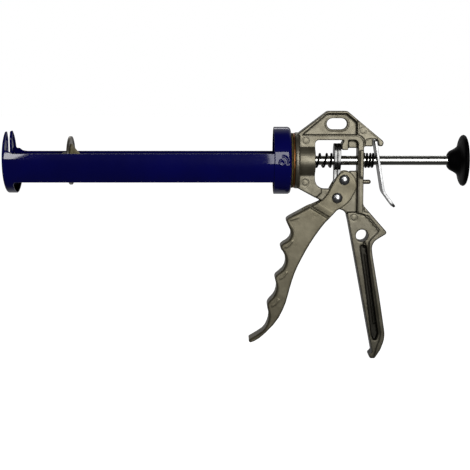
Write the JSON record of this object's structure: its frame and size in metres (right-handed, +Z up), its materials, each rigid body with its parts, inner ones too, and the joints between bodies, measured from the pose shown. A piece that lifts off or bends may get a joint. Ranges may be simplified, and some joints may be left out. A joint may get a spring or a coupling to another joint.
{
  "type": "caulking gun",
  "caption": "Hand-squeezed caulking gun: open swivelling cradle, die-cast frame with hooked handle, finger-grooved trigger, smooth push rod with piston and pull knob, and thumb release plate.",
  "frame": {"origin": "under the middle of the part, level with the lowest point of the handle", "axes": "+X along the push rod towards the pull knob, +Z up, Y across the part with the middle plane at 0"},
  "size_m": [0.388, 0.059, 0.2118],
  "materials": {
    "navy_paint": "gloss navy paint on sheet steel",
    "cast_frame": "satin die casting with a warm grey coat",
    "cast_trigger": "satin die casting with a warm grey coat",
    "chrome_rod": "bright smooth plated rod",
    "bright_steel": "bright zinc-plated steel",
    "polished_rivet": "polished dome",
    "zinc_plate": "dull zinc plating",
    "spring_steel": "black oiled spring wire",
    "copper": "satin copper-coloured ring",
    "fibre": "matt olive fibre ring",
    "brass_insert": "turned brass",
    "knob_plastic": "satin black moulded plastic"
  },
  "bodies": {
    "frame": {"frame_casting": "cast_frame", "stop_peg": "bright_steel", "hub_tube": "bright_steel", "hub_nut": "zinc_plate", "pivot_rivet": "polished_rivet", "copper_washer": "copper", "main_spring": "spring_steel", "release_spring": "spring_steel"},
    "cradle": {"cradle_pressing": "navy_paint", "rear_cup": "navy_paint", "cradle_rivet_left": "navy_paint", "cradle_rivet_right": "navy_paint", "fibre_washer": "fibre"},
    "push_rod": {"push_rod": "chrome_rod", "piston_plate": "zinc_plate", "piston_cone": "zinc_plate", "piston_washer": "zinc_plate", "piston_nut": "zinc_plate", "pull_knob": "knob_plastic", "knob_insert": "brass_insert"},
    "trigger": {"trigger": "cast_trigger", "drive_rivet": "polished_rivet"},
    "gripping_plates": {"grip_plate_front": "bright_steel", "grip_plate_rear": "bright_steel"},
    "release_plate": {"release_plate": "bright_steel"}
  },
  "joints": [
    {"name": "cradle_swivel", "type": "hinge", "parent": "frame", "child": "cradle", "pos_m": [0.048, 0, 0.17], "axis": [1, 0, 0], "continuous": true},
    {"name": "rod_slide", "type": "slide", "parent": "frame", "child": "push_rod", "axis": [1, 0, 0], "range_m": [-0.044, 0.171]},
    {"name": "trigger_pivot", "type": "hinge", "parent": "frame", "child": "trigger", "pos_m": [0.0852, 0, 0.1387], "axis": [0, -1, 0], "range_deg": [0, 26], "stiffness_Nm_per_rad": 0.4, "springref_deg": -34.38},
    {"name": "grip_slide", "type": "slide", "parent": "frame", "child": "gripping_plates", "axis": [-1, 0, 0], "range_m": [0, 0.0076], "deforming": ["main_spring"]},
    {"name": "release_hinge", "type": "hinge", "parent": "frame", "child": "release_plate", "pos_m": [0.1169, 0, 0.1858], "axis": [0, 1, 0], "range_deg": [0, 9], "stiffness_Nm_per_rad": 0.2, "springref_deg": -22.92, "deforming": ["release_spring"]}
  ],
  "couplings": [
    {"joint": "grip_slide", "follows": "trigger_pivot", "m_per_rad": 0.0161}
  ]
}
